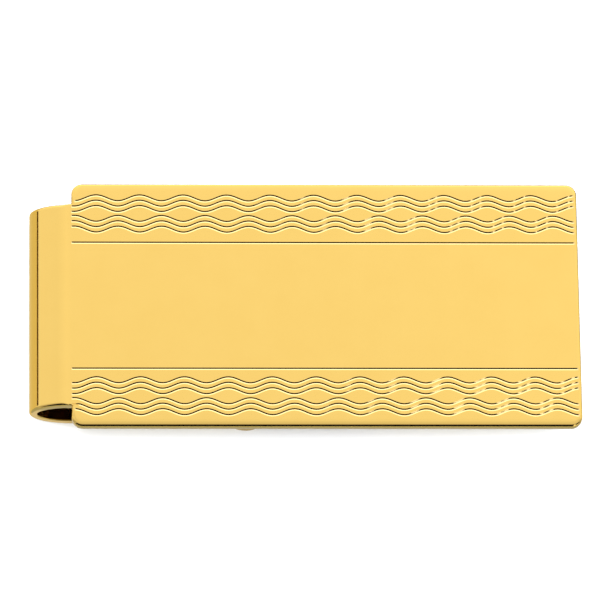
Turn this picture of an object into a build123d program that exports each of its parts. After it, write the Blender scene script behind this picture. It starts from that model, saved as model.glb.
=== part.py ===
from build123d import *
import os
from math import cos, pi, radians, sin, tan

# A hinged money clip, lying on its back. Millimetres.
# +X runs to the plate's free end, +Y across the plate and +Z out of its engraved face.
# The origin is on the surface that the clip lies on, under the middle of its length and width.

# Sheet that makes the plate, the bend and the fixed leg
height = 8.3  # of the plate's face above the surface that the clip lies on
sheet = 1.0
plate_length = 50.8
plate_width = 25.6
corner_radius = 1.1
front_edge = 0.3
back_edge = 0.12
tongue_width = 21.2
bend_reach = 4.2
bend_drop = 6.1
bend_wall = 0.8  # the sheet is stretched thin round the nose of the bend
leg_slope = 7.5
leg_knee = 0.7  # from the plate's end to where the leg starts to slope away
leg_height = 0.6
knee_radius = 10.0

# Hinge
hinge_x = -5.8
barrel_radius = 1.2
hinge_height = barrel_radius
pin_radius = 0.5
pin_dome = 0.12
running_gap = 0.03
staked_gap = 0.01
arm_knuckle_length = 10.4
knuckle_gap = 0.15
sweep_gap = 0.25  # between a leaf and the knuckles that turn past it
cam_flat = 0.08

# Arm
arm_sheet = 1.0
arm_width = 18.6
arm_tab_width = 9.8
arm_tab_start = 0.6
arm_slope = 25.0
arm_heel_radius = 6.0
arm_corner_radius = 3.0
arm_shoulder_radius = 1.0
lip_x = 18.4
lip_radius = 2.5
lip_gap = 0.3
lip_length = 3.4

# Leaf spring and its two rivets
spring_sheet = 0.35
spring_width = 7.0
spring_seat = 4.4
spring_gap = 0.06
spring_overhang = 1.3
spring_knee_radius = 3.0
spring_corner_radius = 0.8
rivet_radius = 0.6
rivet_gap = 0.02
rivet_spacing = 3.6
rivet_head_radius = 1.0
rivet_head_height = 0.4
rivet_tail_radius = 0.9
rivet_tail_height = 0.25

# Engraving on the plate's face
groove_width = 0.22
groove_depth = 0.06
pattern_shift = -0.15  # the whole pattern sits a little nearer to the -Y edge
rule_offset = 6.64  # a straight rule each side of the plain middle
band_offset = 9.61  # the middle of each band of waves
group_spacing = 2.19  # each band is two groups of waves, in opposite phase
wave_spacing = 0.57
waves_in_group = 3
wave_length = 4.365
wave_height = 0.31
wave_start = 0.05  # plain metal left at the plate's two ends
wave_end = 0.5
first_trough = 0.3

# Places that follow from the sizes
plate_left = bend_reach - (plate_length + bend_reach) / 2
plate_right = plate_left + plate_length
plate_middle = (plate_left + plate_right) / 2
plate_back = height - sheet
bend_middle = height - bend_drop / 2
bend_bottom = height - bend_drop
leg_fall = tan(radians(leg_slope))
leg_knee_x = plate_left + leg_knee
leg_flat_x = leg_knee_x + (bend_bottom - leg_height) / leg_fall
knuckle_start = arm_knuckle_length / 2 + knuckle_gap
leaf_clear = barrel_radius + sweep_gap
spring_height = hinge_height + barrel_radius + spring_gap
seat_end_x = leg_knee_x + (bend_bottom + sheet - spring_height) / leg_fall
seat_x = seat_end_x - spring_seat / 2
arm_start_x = hinge_x + leaf_clear
lip_corner = plate_back - lip_gap - arm_sheet + lip_radius * (1 / cos(radians(arm_slope)) - 1)
heel_x = lip_x - lip_corner / tan(radians(arm_slope))
arm_end_x = lip_x + lip_length * cos(radians(arm_slope))
arm_end_height = lip_corner - lip_length * sin(radians(arm_slope))

# Across the hinge, and on the leg where the spring is riveted down
hinge_plane = Plane(origin=(hinge_x, 0, hinge_height), x_dir=(1, 0, 0), z_dir=(0, -1, 0))
seat_plane = Plane(
    origin=(seat_x, 0, spring_height + leg_fall * spring_seat / 2),
    x_dir=(1, 0, -leg_fall),
    z_dir=(leg_fall, 0, 1),
)


def strip(points, radius, thickness):
    """A bent strip seen from the side. Its lower face follows the points, with rounded bends."""
    with BuildLine() as outline:
        lower = FilletPolyline(*points, radius=radius)
        offset(lower, amount=thickness, side=Side.LEFT)
    return make_face(outline.edges(), mode=Mode.PRIVATE)


def wave(middle, trough_first):
    """One engraved wave along the plate, as wide as the groove."""
    start = plate_left + wave_start
    end = plate_right - wave_end
    quarters = round((end - start) / (wave_length / 4))
    rise = -wave_height if trough_first else wave_height

    def side(y):
        points = []
        for i in range(quarters + 1):
            x = start + (end - start) * i / quarters
            phase = 2 * pi * (x - plate_left - first_trough) / wave_length
            points.append((x, y + rise * cos(phase)))
        return points

    near = side(middle - groove_width / 2)
    far = side(middle + groove_width / 2)
    with BuildLine() as outline:
        Spline(*near)
        Line(near[-1], far[-1])
        Spline(*far)
        Line(far[0], near[0])
    return make_face(outline.edges(), mode=Mode.PRIVATE)


# The plate, the bend at its left end and the fixed leg of the hinge are one sheet
with BuildPart() as front_plate:
    with BuildSketch(Plane.XY.offset(plate_back)):
        with Locations((plate_middle, 0)):
            RectangleRounded(plate_length, plate_width, corner_radius)
    extrude(amount=sheet)
    fillet(front_plate.faces().sort_by(Axis.Z)[-1].edges(), front_edge)
    fillet(front_plate.faces().sort_by(Axis.Z)[0].edges(), back_edge)

    # The bend and the leg, drawn from the side, with a short root inside the plate
    with BuildSketch(Plane.XZ):
        with BuildLine():
            EllipticalCenterArc(
                (plate_left, bend_middle),
                bend_reach,
                bend_drop / 2,
                start_angle=90,
                arc_size=180,
            )
            FilletPolyline(
                (plate_left, bend_bottom),
                (leg_knee_x, bend_bottom),
                (leg_flat_x, leg_height),
                (hinge_x, leg_height),
                radius=knee_radius,
            )
            Line((hinge_x, leg_height), (hinge_x, leg_height + sheet))
            FilletPolyline(
                (hinge_x, leg_height + sheet),
                (leg_flat_x, leg_height + sheet),
                (leg_knee_x, bend_bottom + sheet),
                (plate_left, bend_bottom + sheet),
                radius=knee_radius,
            )
            EllipticalCenterArc(
                (plate_left, bend_middle),
                bend_reach - bend_wall,
                bend_drop / 2 - sheet,
                start_angle=90,
                arc_size=180,
            )
            Polyline(
                (plate_left, plate_back),
                (plate_left + sheet, plate_back),
                (plate_left + sheet, height),
                (plate_left, height),
            )
        make_face()
    extrude(amount=tongue_width / 2, both=True)

    # The leg's end meets the barrel, and is notched where the arm's knuckle turns
    with BuildSketch(hinge_plane):
        Circle(barrel_radius)
    extrude(amount=tongue_width / 2, both=True, mode=Mode.SUBTRACT)
    with BuildSketch(Plane.XY):
        with Locations((hinge_x, 0)):
            Rectangle(2 * leaf_clear, 2 * knuckle_start)
    extrude(amount=plate_back, mode=Mode.SUBTRACT)

    # Holes for the spring's rivets
    with BuildSketch(seat_plane):
        with GridLocations(0, rivet_spacing, 1, 2):
            Circle(rivet_radius + rivet_gap)
    extrude(amount=-2 * sheet, mode=Mode.SUBTRACT)

    # Engraved rules and waves
    with BuildSketch(Plane.XY.offset(height)):
        with Locations((plate_middle + (wave_start - wave_end) / 2, pattern_shift)):
            with GridLocations(0, 2 * rule_offset, 1, 2):
                Rectangle(plate_length - wave_start - wave_end, groove_width)
        for band in (band_offset, -band_offset):
            for line in range(waves_in_group):
                middle = pattern_shift + band + (line - (waves_in_group - 1) / 2) * wave_spacing
                add(wave(middle + group_spacing / 2, trough_first=True))
                add(wave(middle - group_spacing / 2, trough_first=False))
    extrude(amount=-groove_depth, mode=Mode.SUBTRACT)

# Two knuckles at the ends of the barrel, brazed to the leg
with BuildPart() as leg_knuckles:
    for side in (1, -1):
        with BuildSketch(hinge_plane.offset(side * tongue_width / 2)):
            Circle(barrel_radius)
            Circle(pin_radius + staked_gap, mode=Mode.SUBTRACT)
        extrude(amount=-side * (tongue_width / 2 - knuckle_start))

# The arm's knuckle turns between them. The spring sits on one flat when shut, on the other when open
with BuildPart() as arm_knuckle:
    with BuildSketch(hinge_plane):
        Circle(barrel_radius)
        with Locations((0, 2 * barrel_radius - cam_flat), (cam_flat - 2 * barrel_radius, 0)):
            Rectangle(2 * barrel_radius, 2 * barrel_radius, mode=Mode.SUBTRACT)
        Circle(pin_radius + running_gap, mode=Mode.SUBTRACT)
    extrude(amount=arm_knuckle_length / 2, both=True)

# The pin runs the length of the barrel and stands out a little, rounded, at each end
with BuildPart() as hinge_pin:
    with BuildSketch(hinge_plane):
        Circle(pin_radius)
    extrude(amount=tongue_width / 2 + pin_dome, both=True)
    fillet(hinge_pin.edges().filter_by(GeomType.CIRCLE), pin_dome)

# The arm runs flat from the hinge, climbs to its lip at the plate's back, then flares away
with BuildPart() as clip_arm:
    with BuildSketch(Plane.XZ):
        add(
            strip(
                [
                    (hinge_x + arm_tab_start, 0),
                    (heel_x, 0),
                    (lip_x, lip_corner),
                    (arm_end_x, arm_end_height),
                ],
                (arm_heel_radius, lip_radius),
                arm_sheet,
            )
        )
    extrude(amount=arm_width / 2, both=True)

    # Its outline from above: a tab at the knuckle, square shoulders and a rounded free end
    with BuildSketch(Plane.XY) as arm_outline:
        arm_length = arm_end_x + arm_sheet * sin(radians(arm_slope)) - arm_start_x
        with Locations((arm_start_x, 0)):
            Rectangle(arm_length, arm_width, align=(Align.MIN, Align.CENTER))
            Rectangle(leaf_clear, arm_tab_width, align=(Align.MAX, Align.CENTER))
        corners = arm_outline.vertices().group_by(Axis.X)
        fillet(corners[-1], arm_corner_radius)
        shoulders = arm_outline.vertices().filter_by_position(Axis.X, arm_start_x, arm_start_x)
        fillet(shoulders.filter_by(lambda v: abs(v.Y) > arm_tab_width), arm_shoulder_radius)
    extrude(amount=height, mode=Mode.INTERSECT)
    with BuildSketch(hinge_plane):
        Circle(barrel_radius)
    extrude(amount=arm_width / 2, both=True, mode=Mode.SUBTRACT)

# The leaf spring is riveted down on the leg and reaches level over the arm's knuckle
with BuildPart() as leaf_spring:
    with BuildSketch(Plane.XZ):
        add(
            strip(
                [
                    (seat_end_x - spring_seat, spring_height + leg_fall * spring_seat),
                    (seat_end_x, spring_height),
                    (hinge_x + spring_overhang, spring_height),
                ],
                spring_knee_radius,
                spring_sheet,
            )
        )
    extrude(amount=spring_width / 2, both=True)
    fillet(leaf_spring.edges().filter_by(Axis.Z), spring_corner_radius)
    with BuildSketch(seat_plane):
        with GridLocations(0, rivet_spacing, 1, 2):
            Circle(rivet_radius + rivet_gap)
    extrude(amount=2 * spring_sheet, mode=Mode.SUBTRACT)

# Two rivets, with a domed head on the spring and a low tail under the leg
with BuildPart() as spring_rivets:
    leg_thickness = sheet * cos(radians(leg_slope))
    for place in GridLocations(0, rivet_spacing, 1, 2):
        rivet_plane = Plane(
            origin=seat_plane.from_local_coords(place.position),
            x_dir=(0, 1, 0),
            z_dir=seat_plane.x_dir,
        )
        with BuildSketch(rivet_plane):
            with BuildLine():
                top = (0, spring_sheet + rivet_head_height)
                bottom = (0, -leg_thickness - rivet_tail_height)
                TangentArc(top, (rivet_head_radius, spring_sheet), tangent=(1, 0))
                Polyline(
                    (rivet_head_radius, spring_sheet),
                    (rivet_radius, spring_sheet),
                    (rivet_radius, -leg_thickness),
                    (rivet_tail_radius, -leg_thickness),
                )
                TangentArc(bottom, (rivet_tail_radius, -leg_thickness), tangent=(1, 0))
                Line(bottom, top)
            make_face()
        revolve(axis=Axis(rivet_plane.origin, seat_plane.z_dir))

os.makedirs("parts", exist_ok=True)
for name, piece in {
    "front_plate": front_plate,
    "leg_knuckles": leg_knuckles,
    "arm_knuckle": arm_knuckle,
    "hinge_pin": hinge_pin,
    "clip_arm": clip_arm,
    "leaf_spring": leaf_spring,
    "spring_rivets": spring_rivets,
}.items():
    piece.part.label = name
    export_step(piece.part, f"parts/{name}.step")
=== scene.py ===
from math import copysign, cos, hypot, pi, radians, sin, sqrt, tan

import bmesh
import bpy
from mathutils import Matrix, Vector


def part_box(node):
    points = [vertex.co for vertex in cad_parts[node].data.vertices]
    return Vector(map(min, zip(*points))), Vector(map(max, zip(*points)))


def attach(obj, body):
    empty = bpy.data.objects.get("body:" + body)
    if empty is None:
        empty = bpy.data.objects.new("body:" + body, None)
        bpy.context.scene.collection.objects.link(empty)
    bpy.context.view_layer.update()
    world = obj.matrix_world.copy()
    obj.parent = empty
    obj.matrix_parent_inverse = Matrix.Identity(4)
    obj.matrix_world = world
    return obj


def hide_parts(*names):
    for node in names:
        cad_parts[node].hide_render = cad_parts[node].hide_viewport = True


# A gold-plated hinged money clip, lying on its back. Shapes are worked out in millimetres in the CAD frame.
# The plate, its bend and its leg are one mesh here. The other pieces keep their CAD shape, and three of
# them get broken edges.
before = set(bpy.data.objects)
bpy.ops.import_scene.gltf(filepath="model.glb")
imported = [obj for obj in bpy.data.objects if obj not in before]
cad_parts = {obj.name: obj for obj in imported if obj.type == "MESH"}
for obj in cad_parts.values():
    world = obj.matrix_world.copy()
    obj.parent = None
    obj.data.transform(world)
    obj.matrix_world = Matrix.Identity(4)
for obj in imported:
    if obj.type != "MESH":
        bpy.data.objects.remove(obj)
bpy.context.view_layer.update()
MM = 0.001


def box_mm(node):
    """Lowest and highest corner of a CAD node, in millimetres."""
    low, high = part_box(node)
    return low / MM, high / MM


# Sizes that the CAD nodes give
plate_low, plate_high = box_mm("front_plate")
knuckle_low, knuckle_high = box_mm("leg_knuckles")
height = plate_high.z
half_width = plate_high.y
plate_right = plate_high.x
tongue_half = knuckle_high.y
barrel_radius = (knuckle_high.x - knuckle_low.x) / 2
hinge_x = (knuckle_high.x + knuckle_low.x) / 2
hinge_z = (knuckle_high.z + knuckle_low.z) / 2

# Sheet, bend and leg
sheet = 1.0
bend_reach = 4.2  # of the bend past the plate's end
bend_drop = 6.1  # height of the bend, outside
bend_wall = 0.8  # the sheet is stretched thin round the nose of the bend
leg_slope = radians(7.5)
leg_knee = 0.7  # from the plate's end to where the leg slopes away
knee_radius = 10.0
leg_height = plate_low.z
plate_left = plate_low.x + bend_reach
plate_back = height - sheet
bend_middle = height - bend_drop / 2
bend_bottom = height - bend_drop
corner_radius = 1.1
front_edge = 0.3  # radii of the rounded edges
back_edge = 0.12
tongue_edge = 0.27
tongue_inner_edge = 0.1
edge_roll = 0.04  # polishing has drawn the face down a little along its two long edges
edge_roll_width = 0.5
roll_share = 0.9  # of the plain strip beside the outermost line, the most that the roll takes
notch_half = 5.35  # the leg is notched for the arm's knuckle
notch_gap = 0.25
notch_x = hinge_x - barrel_radius - notch_gap

# Engraving
line_half = 0.12
line_depth = 0.06
# Across the cut, and share of its depth
line_profile = ((-1, 0), (-0.2, 0.85), (0, 1), (0.2, 0.85), (1, 0))
line_margin = 0.15  # plain metal left between the outermost line and the edge
squeeze_start = 1  # outside the rules, where the lines begin that close up at the plate's corners
first_share = 0.3  # of its width that a line keeps where it starts beside the bend
first_run = 0.6  # length over which it reaches its full width
edge_shares = (0, 0.08, 0.3, 0.6, 1)  # rows across the part that rolls down
pattern_shift = -0.15
band_shift = 0.09  # of the waves, nearer to the far edge than the rules are
rule_offset = 6.64
band_offset = 9.61
group_spacing = 2.19
wave_spacing = 0.57
wave_length = 4.365
wave_height = 0.31
first_trough = 0.3


# ---------------------------------------------------------------- mesh helpers
def grid(bm, rows, material=None):
    """Quads between rows of points. material(r, c) gives each quad's material slot."""
    verts = [[bm.verts.new(p) for p in row] for row in rows]
    for r in range(len(rows) - 1):
        for c in range(len(rows[r]) - 1):
            corners = [verts[r][c], verts[r][c + 1], verts[r + 1][c + 1], verts[r + 1][c]]
            face = bm.faces.new(corners)
            if material:
                face.material_index = material(r, c)


def polygon(bm, points):
    bm.faces.new([bm.verts.new(p) for p in points])


weld_distance = 2e-4
smallest_edge = 1e-5
sharp_angle = radians(26)
face_weight = 80


def piece(name, bm, body, materials, replaced):
    """Welds the patches, scales them to metres and puts the piece on its body, in place of a CAD node."""
    bmesh.ops.remove_doubles(bm, verts=bm.verts, dist=weld_distance)
    bmesh.ops.dissolve_degenerate(bm, edges=bm.edges, dist=smallest_edge)
    bmesh.ops.recalc_face_normals(bm, faces=bm.faces)
    if bm.calc_volume(signed=True) < 0:
        bmesh.ops.reverse_faces(bm, faces=bm.faces)
    open_edges = sum(1 for e in bm.edges if not e.is_manifold)
    print(f"PIECE {name}: {len(bm.faces)} faces, {open_edges} open edges, {bm.calc_volume():.1f} mm3")
    bmesh.ops.scale(bm, vec=(MM, MM, MM), verts=bm.verts)
    mesh = bpy.data.meshes.new(name)
    bm.to_mesh(mesh)
    bm.free()
    obj = bpy.data.objects.new(name, mesh)
    bpy.context.scene.collection.objects.link(obj)
    mesh.shade_smooth()
    mesh.set_sharp_from_angle(angle=sharp_angle)
    # The outline of every cut stays crisp, however shallow it is
    cuts = bmesh.new()
    cuts.from_mesh(mesh)
    for edge in cuts.edges:
        if len({f.material_index for f in edge.link_faces}) > 1:
            edge.smooth = False
    cuts.to_mesh(mesh)
    cuts.free()
    for m in materials:
        mesh.materials.append(m)
    weigh = obj.modifiers.new("even_shading", "WEIGHTED_NORMAL")
    weigh.keep_sharp = True
    weigh.weight = face_weight
    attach(obj, body)
    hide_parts(replaced)
    return obj


def spread(start, end, longest):
    """Evenly spaced values from start to end, without the end."""
    count = max(1, round(abs(end - start) / longest))
    return [start + (end - start) * k / count for k in range(count)]


# ---------------------------------------------------------------- materials
cloud_scale = 260.0
wipe_scale = 2600.0
wipe_height = 0.0000004
hair_angles = (0.35, -0.8)
hair_scale = (60, 1500, 400)
hair_width = 0.02
hair_height = 0.0000006


def node(tree, kind, **sockets):
    """A shader node with the given values on its sockets."""
    made = tree.nodes.new(kind)
    for name, value in sockets.items():
        made.inputs[name.replace("_", " ")].default_value = value
    return made


def polished_metal(name, colour, roughness, grain=(1, 1, 1), scratch=0.2, tarnish=0.0):
    """Polished plated metal: fine wipe marks, hairline scratches and slight clouding."""
    material = bpy.data.materials.new(name)
    material.use_nodes = True
    tree = material.node_tree
    shader = tree.nodes["Principled BSDF"]
    shader.inputs["Metallic"].default_value = 1.0
    link = tree.links.new
    place = tree.nodes.new("ShaderNodeTexCoord").outputs["Object"]

    # Clouding, a few millimetres across, that only shifts the tone slightly
    clouds = node(tree, "ShaderNodeTexNoise", Scale=cloud_scale, Detail=4.0, Roughness=0.55)
    link(place, clouds.inputs["Vector"])
    tone = tree.nodes.new("ShaderNodeMix")
    tone.data_type = "RGBA"
    tone.inputs["A"].default_value = (*colour, 1)
    fades = (0.965 - tarnish, 0.94 - 1.3 * tarnish, 0.88 - 1.6 * tarnish)
    deeper = [c * fade for c, fade in zip(colour, fades)]
    tone.inputs["B"].default_value = (*deeper, 1)
    link(clouds.outputs["Fac"], tone.inputs["Factor"])
    link(tone.outputs["Result"], shader.inputs["Base Color"])

    # Wipe marks: noise drawn out along the sheet
    stretch = node(tree, "ShaderNodeMapping", Scale=grain)
    link(place, stretch.inputs["Vector"])
    wiping = node(tree, "ShaderNodeTexNoise", Scale=wipe_scale, Detail=5.0, Roughness=0.65)
    link(stretch.outputs["Vector"], wiping.inputs["Vector"])

    # Hairlines: thin cracks between very long cells, in two directions
    hairs = None
    for angle in hair_angles:
        turn = node(tree, "ShaderNodeMapping", Rotation=(0, 0, angle), Scale=hair_scale)
        link(place, turn.inputs["Vector"])
        cells = tree.nodes.new("ShaderNodeTexVoronoi")
        cells.feature = "DISTANCE_TO_EDGE"
        cells.inputs["Scale"].default_value = 1.0
        link(turn.outputs["Vector"], cells.inputs["Vector"])
        thin = node(tree, "ShaderNodeMapRange")
        thin.inputs["From Min"].default_value = 0.0
        thin.inputs["From Max"].default_value = hair_width
        thin.inputs["To Min"].default_value = 1.0
        thin.inputs["To Max"].default_value = 0.0
        link(cells.outputs["Distance"], thin.inputs["Value"])
        if hairs is None:
            hairs = thin.outputs["Result"]
        else:
            both = tree.nodes.new("ShaderNodeMath")
            both.operation = "MAXIMUM"
            link(hairs, both.inputs[0])
            link(thin.outputs["Result"], both.inputs[1])
            hairs = both.outputs["Value"]

    rough = node(tree, "ShaderNodeMapRange")
    rough.inputs["To Min"].default_value = roughness * 0.75
    rough.inputs["To Max"].default_value = roughness * 1.3
    link(wiping.outputs["Fac"], rough.inputs["Value"])
    add = tree.nodes.new("ShaderNodeMath")
    add.operation = "MULTIPLY_ADD"
    add.inputs[1].default_value = 0.1 * scratch
    link(hairs, add.inputs[0])
    link(rough.outputs["Result"], add.inputs[2])
    link(add.outputs["Value"], shader.inputs["Roughness"])

    marks = tree.nodes.new("ShaderNodeBump")
    marks.inputs["Strength"].default_value = 0.35
    marks.inputs["Distance"].default_value = wipe_height
    link(wiping.outputs["Fac"], marks.inputs["Height"])
    lines = tree.nodes.new("ShaderNodeBump")
    lines.invert = True
    lines.inputs["Strength"].default_value = scratch
    lines.inputs["Distance"].default_value = hair_height
    link(hairs, lines.inputs["Height"])
    link(marks.outputs["Normal"], lines.inputs["Normal"])
    link(lines.outputs["Normal"], shader.inputs["Normal"])
    return material


gold_colour = (0.80, 0.547, 0.151)
gold = polished_metal("gold_plate", gold_colour, 0.07, grain=(0.12, 1, 1))
engraved = polished_metal("gold_engraved", (0.86, 0.65, 0.30), 0.1, tarnish=0.03)
hinge_gold = polished_metal(
    "gold_hinge", (0.78, 0.52, 0.14), 0.14, grain=(1, 0.15, 1), scratch=0.4, tarnish=0.05
)
pin_gold = polished_metal("hinge_pin", (0.70, 0.45, 0.12), 0.2, scratch=0.5, tarnish=0.06)
arm_gold = polished_metal("gold_arm", gold_colour, 0.09, grain=(0.1, 1, 1))
spring_metal = polished_metal(
    "spring_steel", (0.74, 0.56, 0.24), 0.16, grain=(0.08, 1, 1), scratch=0.5
)
rivet_gold = polished_metal("rivets", (0.76, 0.51, 0.135), 0.15, scratch=0.4, tarnish=0.05)


# ---------------------------------------------------------------- plate, bend and leg
column_step = 0.2  # longest quads along the plate
corner_steps = 8
front_steps = 6
back_steps = 3
bend_steps = 40
edge_steps = 4
edge_run = 3  # stations over which the bend's long edges become round
root_step = 0.1
knee_step = 0.16
leg_step = 2.0
leg_end_step = 1.0
fade_at_bend = 0.08  # lengths over which the lines fade in and out
fade_at_corner = 0.15
fade_at_end = 0.2
back_rows = 9.0  # rows of the plate's back that run straight, on each side of the middle


def engraved_lines():
    """(place across, rise) of each line, from the near edge to the far edge. A rule has no rise."""
    lines = [(pattern_shift - rule_offset, 0.0), (pattern_shift + rule_offset, 0.0)]
    for side in (1, -1):
        band = pattern_shift + band_shift + side * band_offset
        for step in (-wave_spacing, 0, wave_spacing):
            lines.append((band + group_spacing / 2 + step, -wave_height))
            lines.append((band - group_spacing / 2 + step, wave_height))
    return sorted(lines)


LINES = engraved_lines()
first_x = plate_left + front_edge  # where the face's own columns begin


def smooth(t):
    """An even rise from 0 to 1 with soft ends."""
    t = min(1.0, max(0.0, t))
    return t * t * (3 - 2 * t)


def line_at(n, x, edge=half_width):
    """Where line n is at x, and the half width of its cut across the plate."""
    middle, rise = LINES[n]
    phase = 2 * pi * (x - plate_left - first_trough) / wave_length
    slope = rise * 2 * pi / wave_length * sin(phase)
    y = middle + rise * cos(phase)
    half = line_half * sqrt(1 + slope * slope)
    if n == 1:
        # This one starts beside the edge of the bend
        half *= first_share + (1 - first_share) * smooth((x - first_x) / first_run)
    outer_middle, outer_rise = LINES[0 if y < 0 else -1]
    reach = abs(outer_middle + outer_rise * cos(phase)) + line_half
    room = edge - line_margin
    if reach > room and abs(y) > rule_offset + squeeze_start:
        # The waves close up where the plate's corner leaves them no room
        share = (room - rule_offset) / (reach - rule_offset)
        y = copysign(rule_offset + (abs(y) - rule_offset) * share, y)
    return y, half


def gap_row(n, x, edge, at_start):
    """The row between lines n - 1 and n that starts as an edge of the bend, at the place at_start."""

    def gap(where):
        before, before_half = line_at(n - 1, where, edge)
        after, after_half = line_at(n, where, edge)
        return before + before_half, after - after_half

    low, high = gap(first_x)
    share = (at_start - low) / (high - low)
    low, high = gap(x)
    return low + (high - low) * share


def plate_rows(x, edge):
    """Every row at x: its place across, share of the line depth, line and how far it has rolled down."""

    def border(side):
        outer, outer_half = line_at(0 if side < 0 else len(LINES) - 1, x, edge)
        width = min(edge_roll_width, roll_share * (edge - abs(outer) - outer_half))
        drop = edge_roll * width / edge_roll_width
        return [(side * (edge - width * f), 0, None, drop * (1 - f) ** 2) for f in edge_shares]

    rows = border(-1)
    for n in range(len(LINES)):
        if n == 1:
            rows.append((gap_row(n, x, edge, -tongue_half), 0, None, 0))
        if n == len(LINES) - 1:
            rows.append((gap_row(n, x, edge, tongue_half), 0, None, 0))
        if n == len(LINES) // 2:
            rows += [(m * notch_half, 0, None, 0) for m in (-1, -0.5, 0, 0.5, 1)]
        y, half = line_at(n, x, edge)
        rows += [(y + u * half, share, n, 0) for u, share in line_profile]
    return rows + border(1)[::-1]


def line_strength(x, n):
    """How deep a line is at x, from 0 to 1: it fades out at the ends of the plate."""
    if 0 < n < len(LINES) - 1:
        start = (x - plate_left) / fade_at_bend
    else:
        start = (x - first_x) / fade_at_corner
    return smooth(start) * smooth((plate_right - front_edge - x) / fade_at_end)


def plate_columns(inset):
    """(x, half width) of each column of the plate's outline, drawn in by inset."""
    radius = corner_radius - inset
    centre_y = half_width - corner_radius
    angles = [pi / 2 * k / corner_steps for k in range(corner_steps)]
    left, right = plate_left + corner_radius, plate_right - corner_radius
    low = [(left - radius * cos(a), centre_y + radius * sin(a)) for a in angles]
    high = [(right + radius * cos(a), centre_y + radius * sin(a)) for a in angles]
    middle = [(x, half_width - inset) for x in spread(left, right, column_step) + [right]]
    return low + middle + high[::-1]


def leg_under(x):
    """Height of the leg's lower face at x."""
    reach = knee_radius * tan(leg_slope / 2)
    knee_x = plate_left + leg_knee
    flat_x = knee_x + (bend_bottom - leg_height) / tan(leg_slope)
    start, end = knee_x - reach, flat_x + reach
    run = reach * cos(leg_slope)
    if x <= start:
        return bend_bottom
    if x >= end:
        return leg_height
    if x < knee_x + run:
        return bend_bottom - knee_radius + sqrt(knee_radius**2 - (x - start) ** 2)
    if x > flat_x - run:
        return leg_height + knee_radius - sqrt(knee_radius**2 - (end - x) ** 2)
    return bend_bottom - (x - knee_x) * tan(leg_slope)


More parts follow.
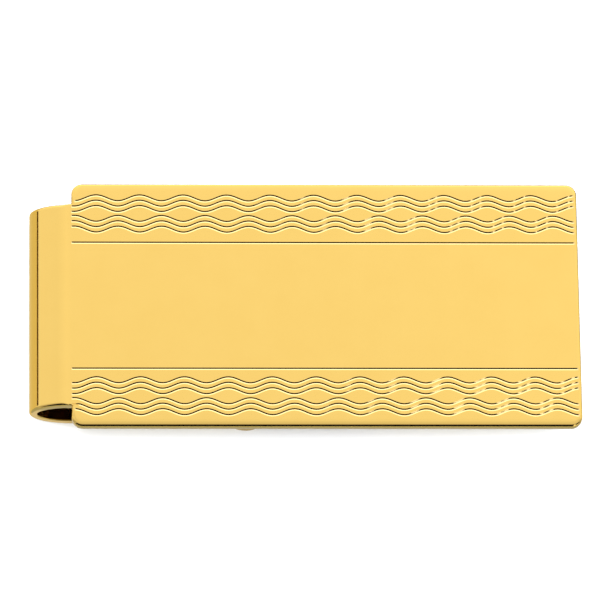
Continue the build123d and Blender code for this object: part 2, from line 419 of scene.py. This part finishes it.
def make_plate():
    """The engraved plate, its bend and its leg, as one closed mesh."""
    bm = bmesh.new()
    top = plate_columns(front_edge)
    back = plate_columns(back_edge)
    rows = [plate_rows(x, edge) for x, edge in top]
    count = len(rows[0])
    places = [[r[0] for r in column] for column in rows]
    last_row, last_column = count - 1, len(top) - 1
    first = places[0]
    tongue_low = min(range(count), key=lambda j: abs(first[j] + tongue_half))
    tongue_high = min(range(count), key=lambda j: abs(first[j] - tongue_half))
    notch_low = min(range(count), key=lambda j: abs(first[j] + notch_half))
    notch_high = min(range(count), key=lambda j: abs(first[j] - notch_half))
    kinds = [r[2] for r in rows[0]]

    def depth(x, row):
        return row[3] + (line_depth * row[1] * line_strength(x, row[2]) if row[1] else 0.0)

    # The engraved face
    face = []
    for (x, _), column in zip(top, rows):
        face.append([(x, r[0], height - depth(x, r)) for r in column])

    def cut_material(x, next_x, j):
        """The engraved finish inside a line, and the plate's own beside it."""
        n = kinds[j]
        if n is None or kinds[j + 1] != n:
            return 0
        return 1 if max(line_strength(x, n), line_strength(next_x, n)) > 0 else 0

    def face_material(i, j):
        return cut_material(top[i][0], top[i + 1][0], j)

    grid(bm, face, face_material)

    # The plate's back
    plain = []
    for i, (x, edge) in enumerate(back):
        share = i / last_column
        ys = [first[j] + (places[-1][j] - first[j]) * share for j in range(count)]
        outside = (edge - back_rows) / (half_width - corner_radius - back_rows)
        for j, y in enumerate(ys):
            if abs(y) >= back_rows:
                ys[j] = copysign(back_rows + (abs(y) - back_rows) * outside, y)
        plain.append([(x, y, plate_back) for y in ys])
    grid(bm, plain)

    # Rounded edges round the plate, except where the bend leaves it
    fillet = [pi / 2 * k / front_steps for k in range(front_steps + 1)]
    profile = [(front_edge * (1 - sin(a)), height - front_edge * (1 - cos(a))) for a in fillet]
    rear = [pi / 2 * k / back_steps for k in range(back_steps + 1)]
    profile += [(back_edge * (1 - cos(a)), plate_back + back_edge * (1 - sin(a))) for a in rear]
    rim = [("left", j, 1) for j in range(tongue_high, last_row)]
    rim += [("side", i, 1) for i in range(last_column)]
    rim += [("right", j, 1) for j in range(last_row, 0, -1)]
    rim += [("side", i, -1) for i in range(last_column, 0, -1)]
    rim += [("left", j, 1) for j in range(0, tongue_low + 1)]
    outlines = {inset: plate_columns(inset) for inset, _ in profile}
    strips = []
    for inset, z in profile:
        ring = []
        share = max(0.0, (z - height + front_edge) / front_edge)  # of the roll that is left this far down
        for where, n, side in rim:
            if where == "left":
                ring.append((plate_left + inset, first[n], z - share * rows[0][n][3]))
            elif where == "right":
                ring.append((plate_right - inset, places[-1][n], z - share * rows[-1][n][3]))
            else:
                x, edge = outlines[inset][n]
                ring.append((x, side * edge, z - share * rows[n][0 if side < 0 else -1][3]))
        strips.append(ring)
    grid(bm, strips)

    # Short flat roots of the bend, on the face and on the back
    tongue = range(tongue_low, tongue_high + 1)
    root = [plate_left + d for d in (front_edge, 0.2, fade_at_bend, fade_at_bend / 2, 0)]
    root_rows = [[(x, first[j], height - depth(x, rows[0][j])) for j in tongue] for x in root]
    grid(bm, root_rows, lambda r, c: cut_material(root[r], root[r + 1], tongue_low + c))
    grid(bm, [[(x, first[j], plate_back) for j in tongue] for x in (plate_left + back_edge, plate_left)])
    for y in (tongue_half, -tongue_half):
        corner = [(x, y, height) for x in root]
        corner += [(plate_left + inset, y, z) for inset, z in profile[front_steps:0:-1]]
        polygon(bm, corner)
        rear_corner = [(plate_left + inset, y, z) for inset, z in profile[front_steps + 1 :]]
        polygon(bm, rear_corner + [(plate_left, y, plate_back)])

    # Bend and leg: outer and inner point of the sheet at each station
    stations = []
    for k in range(bend_steps + 1):
        t = pi * k / bend_steps
        outer = (plate_left - bend_reach * sin(t), bend_middle + bend_drop / 2 * cos(t))
        inner = (
            plate_left - (bend_reach - bend_wall) * sin(t),
            bend_middle + (bend_drop / 2 - sheet) * cos(t),
        )
        stations.append((outer, inner))
    knee_x = plate_left + leg_knee
    flat_x = knee_x + (bend_bottom - leg_height) / tan(leg_slope)
    reach = knee_radius * tan(leg_slope / 2)
    xs = spread(plate_left, knee_x - reach, root_step)[1:]
    xs += spread(knee_x - reach, knee_x + reach, knee_step)
    xs += spread(knee_x + reach, flat_x - reach, leg_step)
    xs += spread(flat_x - reach, flat_x + reach, knee_step)
    xs += spread(flat_x + reach, notch_x, leg_end_step)
    stations += [((x, leg_under(x)), (x, leg_under(x) + sheet)) for x in xs]
    notch_station = len(stations)
    stations.append(((notch_x, leg_height), (notch_x, leg_height + sheet)))

    def at_barrel(z):
        return hinge_x - sqrt(barrel_radius**2 - (z - hinge_z) ** 2)

    stations.append(
        ((at_barrel(leg_height), leg_height), (at_barrel(leg_height + sheet), leg_height + sheet))
    )
    inner_rows = rule_offset + abs(pattern_shift) + line_half

    def across(y, edge):
        """Rows close up a little towards the sheet's rounded edge."""
        if abs(y) <= inner_rows:
            return y
        share = (abs(y) - inner_rows) / (tongue_half - inner_rows)
        return (inner_rows + share * (edge - inner_rows)) * (1 if y > 0 else -1)

    quarter = [pi / 2 * k / edge_steps for k in range(1, edge_steps + 1)]
    loops = []
    for k, (outer, inner) in enumerate(stations):
        thick = hypot(inner[0] - outer[0], inner[1] - outer[1])
        r = tongue_edge * smooth(k / edge_run)
        q = tongue_inner_edge * smooth(k / edge_run)

        def at(y, d):
            share = d / thick
            return (
                outer[0] + (inner[0] - outer[0]) * share,
                y,
                outer[1] + (inner[1] - outer[1]) * share,
            )

        edge = [(tongue_half - r * (1 - sin(a)), r * (1 - cos(a))) for a in quarter]
        edge += [(tongue_half, front_edge), (tongue_half, thick - back_edge)]
        for a in [0] + quarter[:-1]:
            edge.append((tongue_half - q * (1 - cos(a)), thick - q * (1 - sin(a))))
        loop = [at(across(first[j], tongue_half - r), 0) for j in tongue]
        loop += [at(y, d) for y, d in edge]
        loop += [at(across(first[j], tongue_half - q), thick) for j in reversed(tongue)]
        loop += [at(-y, d) for y, d in reversed(edge)]
        loops.append(loop)
    whole = [loop + loop[:1] for loop in loops[: notch_station + 1]]
    grid(bm, whole)

    # The leg is notched for the arm's knuckle: its two ends run on to the barrel
    size = len(loops[0])
    far = notch_high - tongue_low
    near = notch_low - tongue_low
    across_count = len(tongue)
    edge_count = (size - 2 * across_count) // 2
    far_back = across_count + edge_count + (tongue_high - notch_high)
    near_back = across_count + edge_count + (tongue_high - notch_low)
    for a, b in ((far, far_back), (near_back, size + near)):
        part = [[loop[n % size] for n in range(a, b + 1)] for loop in loops[notch_station:]]
        grid(bm, part)
        grid(bm, [[row[0], row[-1]] for row in part])
        polygon(bm, part[-1])
    rim_loop = loops[notch_station]
    wall = []
    for j in range(notch_low, notch_high + 1):
        upper = rim_loop[across_count + edge_count + (tongue_high - j)]
        wall.append([rim_loop[j - tongue_low], upper])
    grid(bm, wall)
    piece("engraved_plate", bm, "plate", [gold, engraved], "front_plate")


make_plate()

for name, material in {
    "leg_knuckles": hinge_gold,
    "arm_knuckle": hinge_gold,
    "hinge_pin": pin_gold,
    "clip_arm": arm_gold,
    "leaf_spring": spring_metal,
    "spring_rivets": rivet_gold,
}.items():
    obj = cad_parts[name]
    obj.data.materials.clear()
    obj.data.materials.append(material)

# The cut edges of the knuckles and the spring are broken by polishing
broken_edges = {"arm_knuckle": 0.1, "leg_knuckles": 0.1, "leaf_spring": 0.06}
for name, width in broken_edges.items():
    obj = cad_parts[name]
    weld = obj.modifiers.new("weld", "WELD")
    weld.merge_threshold = 0.0005 * MM
    flat = obj.modifiers.new("whole_faces", "DECIMATE")
    flat.decimate_type = "DISSOLVE"
    flat.angle_limit = radians(0.5)
    bevel = obj.modifiers.new("broken_edges", "BEVEL")
    bevel.width = width * MM
    bevel.segments = 3
    bevel.limit_method = "ANGLE"
    bevel.angle_limit = radians(45)
    bevel.harden_normals = True

# ---------------------------------------------------------------- floor, light and camera
world = bpy.data.worlds.new("studio")
bpy.context.scene.world = world
world.use_nodes = True
sky = world.node_tree
background = sky.nodes["Background"]
background.inputs["Strength"].default_value = 1.22


def ramp(value, stops):
    """Brightness along one direction of the studio, from -1 to 1."""
    scale = node(sky, "ShaderNodeMapRange")
    scale.inputs["From Min"].default_value = -1.0
    sky.links.new(value, scale.inputs["Value"])
    colours = sky.nodes.new("ShaderNodeValToRGB")
    while len(colours.color_ramp.elements) < len(stops):
        colours.color_ramp.elements.new(0.5)
    for element, (at, level) in zip(colours.color_ramp.elements, stops):
        element.position = (at + 1) / 2
        element.color = (level, level, level, 1)
    sky.links.new(scale.outputs["Result"], colours.inputs["Fac"])
    return colours.outputs["Color"]


direction = sky.nodes.new("ShaderNodeTexCoord").outputs["Generated"]
split = sky.nodes.new("ShaderNodeSeparateXYZ")
sky.links.new(direction, split.inputs["Vector"])
# Each stop is a place from -1 to 1 and a level. The plate's face mirrors X near 0.05 and Y near 0.33.
side_stops = [
    (-1, 0.97), (-0.45, 0.96), (-0.14, 1.03), (0.0, 1.0),
    (0.05, 1.015), (0.09, 1.06), (0.3, 1.1), (1, 1.05),
]
depth_stops = [
    (-1, 1), (-0.6, 0.9), (-0.38, 0.42), (-0.1, 0.56), (0, 0.72), (0.17, 0.91),
    (0.31, 0.985), (0.345, 1.02), (0.6, 1.12), (0.8, 1.4), (0.93, 1.65), (1, 1.65),
]
sideways = ramp(split.outputs["X"], side_stops)
lengthways = ramp(split.outputs["Y"], depth_stops)
product = sky.nodes.new("ShaderNodeMix")
product.data_type = "RGBA"
product.blend_type = "MULTIPLY"
product.inputs["Factor"].default_value = 1.0
sky.links.new(sideways, product.inputs["A"])
sky.links.new(lengthways, product.inputs["B"])

# The backdrop itself is white, whatever the metal mirrors
seen = node(sky, "ShaderNodeMix")
seen.data_type = "RGBA"
seen.inputs["B"].default_value = (1, 1, 1, 1)
sky.links.new(sky.nodes.new("ShaderNodeLightPath").outputs["Is Camera Ray"], seen.inputs["Factor"])
sky.links.new(product.outputs["Result"], seen.inputs["A"])
sky.links.new(seen.outputs["Result"], background.inputs["Color"])


def plain(name, colour, glow=0.0):
    """A matt material of the studio."""
    material = bpy.data.materials.new(name)
    material.use_nodes = True
    shader = material.node_tree.nodes["Principled BSDF"]
    shader.inputs["Base Color"].default_value = (*colour, 1)
    shader.inputs["Roughness"].default_value = 0.9
    shader.inputs["Specular IOR Level"].default_value = 0.0
    shader.inputs["Emission Color"].default_value = (1, 1, 1, 1)
    shader.inputs["Emission Strength"].default_value = glow
    return material


def card(name, corners, material):
    """A flat sheet of the studio, with corners in millimetres."""
    mesh = bpy.data.meshes.new(name)
    mesh.from_pydata([Vector(c) * MM for c in corners], [], [range(len(corners))])
    mesh.materials.append(material)
    obj = bpy.data.objects.new(name, mesh)
    bpy.context.scene.collection.objects.link(obj)
    return obj


def seen_by(obj, camera=False, glossy=False, diffuse=False):
    obj.visible_camera = camera
    obj.visible_glossy = glossy
    obj.visible_diffuse = diffuse
    obj.visible_shadow = False
    obj.visible_transmission = False


def rectangle(left, near, right, far, z):
    return [(left, near, z), (right, near, z), (right, far, z), (left, far, z)]


wide = 3000
floor_z = -0.02
table_z = -0.05
floor_corners = rectangle(-wide, -wide, wide, wide, floor_z)
floor = card("floor", floor_corners, plain("pale_floor", (0.785, 0.82, 0.865)))
seen_by(floor, camera=True, diffuse=True)

# What the polished metal mirrors: a copy of the table painted dimmer than the floor, which is painted
# shade, ending at the left, and a dark card low in front
table_left = -340
card_y = -100
split_x = plate_low.x - 0.3  # just left of the bend
split_y = -half_width
tables = {
    # Painted light: the left part is warmer, for the light that the gold throws onto the table beside the
    # bend
    "mirrored_left_warm_light": ((table_left, split_y, split_x, wide), (0.4, 0.362, 0.225)),
    # Painted shade: the front part is darker, for the shade on the table in front of the clip
    "mirrored_front_shade": ((table_left, card_y, wide, split_y), (0.225, 0.24, 0.235)),
    "mirrored_middle": ((split_x, split_y, wide, half_width), (0.36, 0.35, 0.32)),
    "mirrored_back": ((split_x, half_width, wide, wide), (0.16, 0.16, 0.16)),
}
for name, (sides, colour) in tables.items():
    seen_by(card(name, rectangle(*sides, table_z), plain(name, colour)), glossy=True)
card_bottom = 6
card_top = 290
card_side = 150
strip_bottom = 60  # the plate's face must not mirror the strip or the card beside it
side_bottom = 62


def upright(name, low, high, corners, material):
    """A card in front, from low to high. corners gives its left and right side below, then above."""
    left_low, right_low, left_high, right_high = corners
    points = [(left_low, low), (right_low, low), (right_high, high), (left_high, high)]
    seen_by(card(name, [(x, card_y, z) for x, z in points], material), glossy=True)


# A light strip stands to the right, between two dark cards
black = plain("black_card", (0.004, 0.004, 0.004))
lit = plain("lit_card", (0.0, 0.0, 0.0), 1.6)
card_step = 162  # the far band of waves mirrors what is above this, and the near band what is below
upright("front_card", card_bottom, card_step, (-card_side, 48, -card_side, 77.1), black)
upright("light_strip", strip_bottom, card_step, (58.5, 79, 77.6, 98.1), lit)
upright("side_card", side_bottom, card_step, (80, 220, 98.6, 220), black)
upright("front_card_top", card_step, card_top, (-card_side, 87.1, -card_side, 111), black)
upright("light_strip_top", card_step, card_top, (87.6, 99.4, 111.5, 123), lit)
upright("side_card_top", card_step, card_top, (99.9, 220, 123.5, 220), black)

# A low dark strip at the table's left end is the line down the bend
strip_near = 75
strip_far = 145
strip_top = 36
places = [(strip_near, table_z), (strip_far, table_z), (strip_far, strip_top), (strip_near, strip_top)]
strip_corners = [(table_left, y, z) for y, z in places]
seen_by(card("left_strip", strip_corners, plain("brown_card", (0.05, 0.02, 0.0))), glossy=True)

lamp = bpy.data.lights.new("table_light", "SUN")
lamp.energy = 4.6
lamp.angle = radians(32)
lamp_object = bpy.data.objects.new("table_light", lamp)
bpy.context.scene.collection.objects.link(lamp_object)
toward = Vector((0.05, -0.22, 1.0))
lamp_object.rotation_mode = "QUATERNION"
lamp_object.rotation_quaternion = toward.to_track_quat("Z", "Y")
lamp_object.visible_glossy = False

camera = bpy.data.cameras.new("camera")
camera.sensor_width = 36.0
camera.lens = 391.36
camera.clip_start = 0.05
camera.clip_end = 10.0
camera_object = bpy.data.objects.new("camera", camera)
bpy.context.scene.collection.objects.link(camera_object)
tilt = Matrix.Rotation(radians(19.05), 4, "X")
yaw = Matrix.Rotation(radians(-2.584), 4, "Y")
roll = Matrix.Rotation(radians(0.075), 4, "Z")
eye = Matrix.Translation(Vector((-29.845, -214.3, 629.3)) * MM)
camera_object.matrix_world = eye @ tilt @ yaw @ roll
bpy.context.scene.camera = camera_object
bpy.context.scene.view_settings.view_transform = "Standard"
